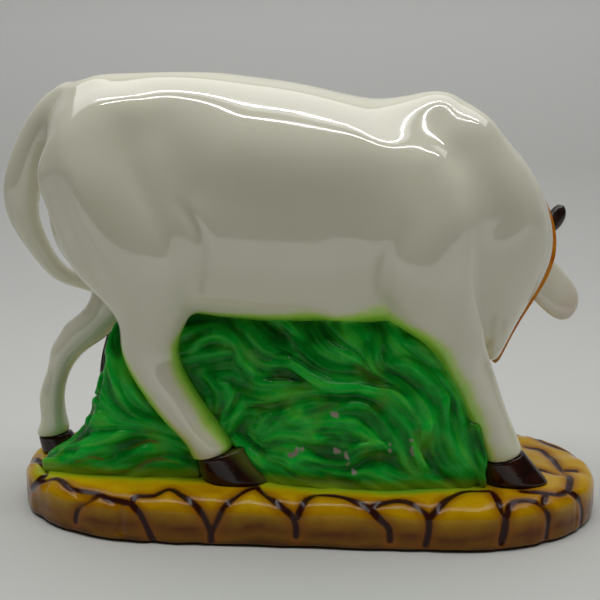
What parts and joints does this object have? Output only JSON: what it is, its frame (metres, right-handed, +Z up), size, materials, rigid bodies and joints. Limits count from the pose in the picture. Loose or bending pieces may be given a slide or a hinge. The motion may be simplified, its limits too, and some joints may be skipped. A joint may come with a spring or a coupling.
{
  "type": "cow figurine",
  "caption": "Glossy white humped cow with its head turned aside, standing over a bank of curly grass on an oval flagstone plinth; a shelf ornament.",
  "frame": {"origin": "centre of the plinth's underside, on the surface that the figurine stands on", "axes": "+X along the plinth towards the cow's head end, +Y to the cow's left, away from the pictured flank, +Z up"},
  "size_m": [0.2605, 0.1159, 0.1907],
  "materials": {
    "white_gloss": "gloss",
    "hoof_brown": "gloss",
    "horn_brown": "gloss",
    "band_orange": "gloss",
    "tuft_black": "gloss",
    "grass_green": "gloss",
    "flagstone_ochre": "gloss"
  },
  "bodies": {
    "root": {"base_plinth": "flagstone_ochre", "grass_bank": "grass_green", "trunk": "white_gloss", "neck": "white_gloss", "neck_band": "band_orange", "head": "white_gloss", "tail": "white_gloss", "tail_tuft": "tuft_black", "horn_right": "horn_brown", "horn_left": "horn_brown", "ear_right": "white_gloss", "ear_left": "white_gloss", "leg_hind_right": "white_gloss", "leg_hind_left": "white_gloss", "leg_fore_right": "white_gloss", "leg_fore_left": "white_gloss", "hoof_hind_right": "hoof_brown", "hoof_hind_left": "hoof_brown", "hoof_fore_right": "hoof_brown", "hoof_fore_left": "hoof_brown"}
  },
  "joints": []
}
